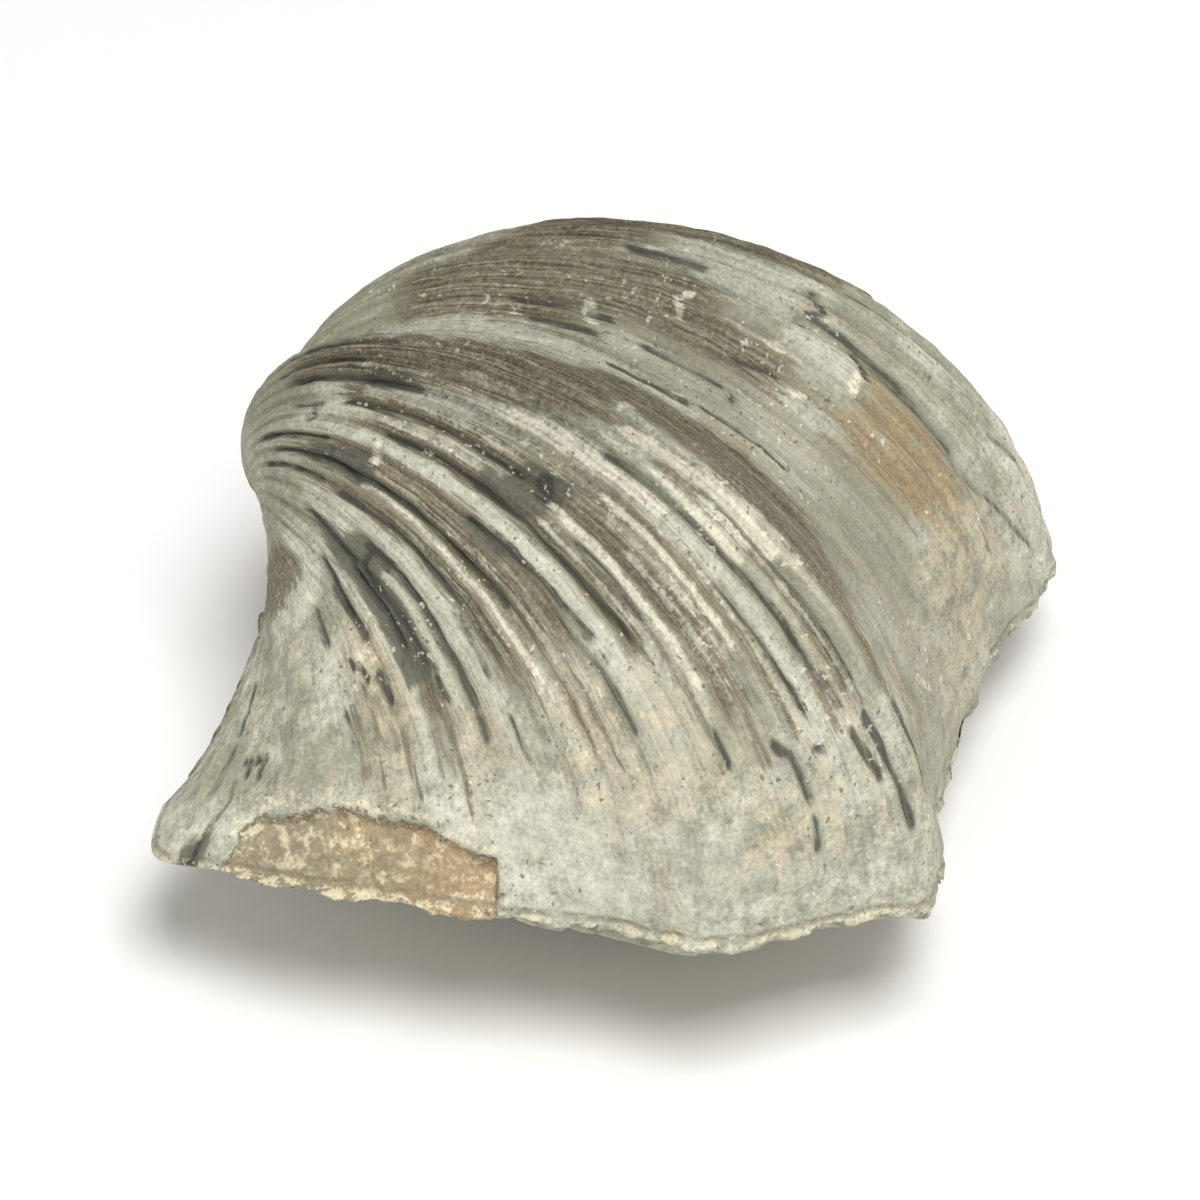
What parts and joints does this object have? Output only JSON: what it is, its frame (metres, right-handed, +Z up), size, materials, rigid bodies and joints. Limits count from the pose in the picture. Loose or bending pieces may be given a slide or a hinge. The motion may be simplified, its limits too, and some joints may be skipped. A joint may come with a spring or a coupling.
{
  "type": "brachiopod fossil",
  "caption": "Ribbed spiriferid brachiopod fossil with closed valves, a swollen curled beak, a deep middle trough and a broken-back wing, lying on its worn underside.",
  "frame": {"origin": "on the surface that the fossil rests on, under the middle of its bounding box", "axes": "+X along the hinge line towards the short, broken wing, +Y from the hinge towards the front edge, +Z up through the swollen ventral valve"},
  "size_m": [0.0446, 0.0368, 0.0279],
  "materials": {
    "fossil_stone": "matt weathered stone: chalky grey-green skin with brown shell bands, dark rib grooves and cream chips"
  },
  "bodies": {
    "root": {"brachiopod_fossil": "fossil_stone"}
  },
  "joints": []
}
